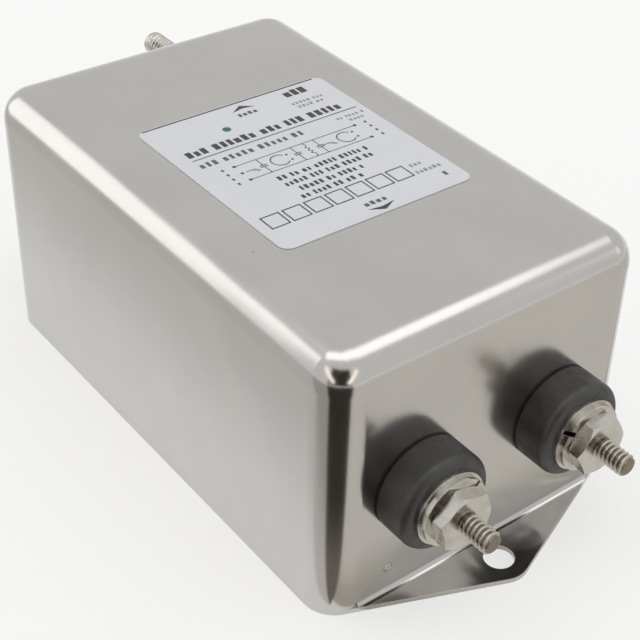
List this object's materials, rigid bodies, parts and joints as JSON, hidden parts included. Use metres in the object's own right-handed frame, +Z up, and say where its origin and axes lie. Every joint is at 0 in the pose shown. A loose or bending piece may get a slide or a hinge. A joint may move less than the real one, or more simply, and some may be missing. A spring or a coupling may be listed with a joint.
{
  "type": "emi line filter",
  "caption": "Two-stage mains interference filter in a drawn metal can, with stud terminals at both ends, a ground stud and two mounting ears.",
  "frame": {"origin": "centre of the underside", "axes": "+X across the can, +Y from the load end to the line end, +Z up out of the mounting surface"},
  "size_m": [0.057, 0.1238, 0.0455],
  "materials": {
    "plated_steel": "bright nickel-like plating, soft blurred reflections, fine handling marks",
    "plated_fasteners": "plated screws, nuts and washers",
    "label": "pale printed film label, satin",
    "bushing_plastic": "black moulded phenolic, satin",
    "tinned_brass": "tin-plated",
    "wire_insulation": "green sleeve",
    "insulating_card": "fish paper",
    "phenolic_board": "paper phenolic laminate",
    "core_coating": "epoxy-coated ferrite",
    "cradle_plastic": "moulded nylon",
    "enamelled_copper": "enamelled copper wire",
    "x_capacitor_case": "moulded box",
    "y_capacitor_case": "moulded box",
    "resistor_body": "coated body"
  },
  "bodies": {
    "root": {"case_can": "plated_steel", "base_plate": "plated_steel", "rating_label": "label", "bushing_load_1": "bushing_plastic", "bushing_load_2": "bushing_plastic", "bushing_line_1": "bushing_plastic", "bushing_line_2": "bushing_plastic", "inner_bushing_load_1": "bushing_plastic", "inner_bushing_load_2": "bushing_plastic", "inner_bushing_line_1": "bushing_plastic", "inner_bushing_line_2": "bushing_plastic", "stud_load_1": "plated_fasteners", "stud_load_2": "plated_fasteners", "stud_line_1": "plated_fasteners", "stud_line_2": "plated_fasteners", "terminal_washers": "plated_fasteners", "terminal_lock_washers": "plated_fasteners", "terminal_nuts": "plated_fasteners", "inner_washers": "plated_fasteners", "solder_lugs": "tinned_brass", "ground_stud": "plated_fasteners", "ground_washer": "plated_fasteners", "ground_lock_washer": "plated_fasteners", "ground_nut": "plated_fasteners", "ground_lug": "tinned_brass", "ground_wire": "wire_insulation", "insulating_sheet": "insulating_card", "insulating_liner": "insulating_card", "component_board": "phenolic_board", "choke_core_1": "core_coating", "choke_core_2": "core_coating", "choke_cradle_1": "cradle_plastic", "choke_cradle_2": "cradle_plastic", "choke_divider_1": "insulating_card", "choke_divider_2": "insulating_card", "winding_load_1": "enamelled_copper", "winding_load_2": "enamelled_copper", "winding_line_1": "enamelled_copper", "winding_line_2": "enamelled_copper", "x_capacitor_middle": "x_capacitor_case", "x_capacitor_load": "x_capacitor_case", "y_capacitor_1": "y_capacitor_case", "y_capacitor_2": "y_capacitor_case", "bleeder_resistor": "resistor_body"}
  },
  "joints": []
}
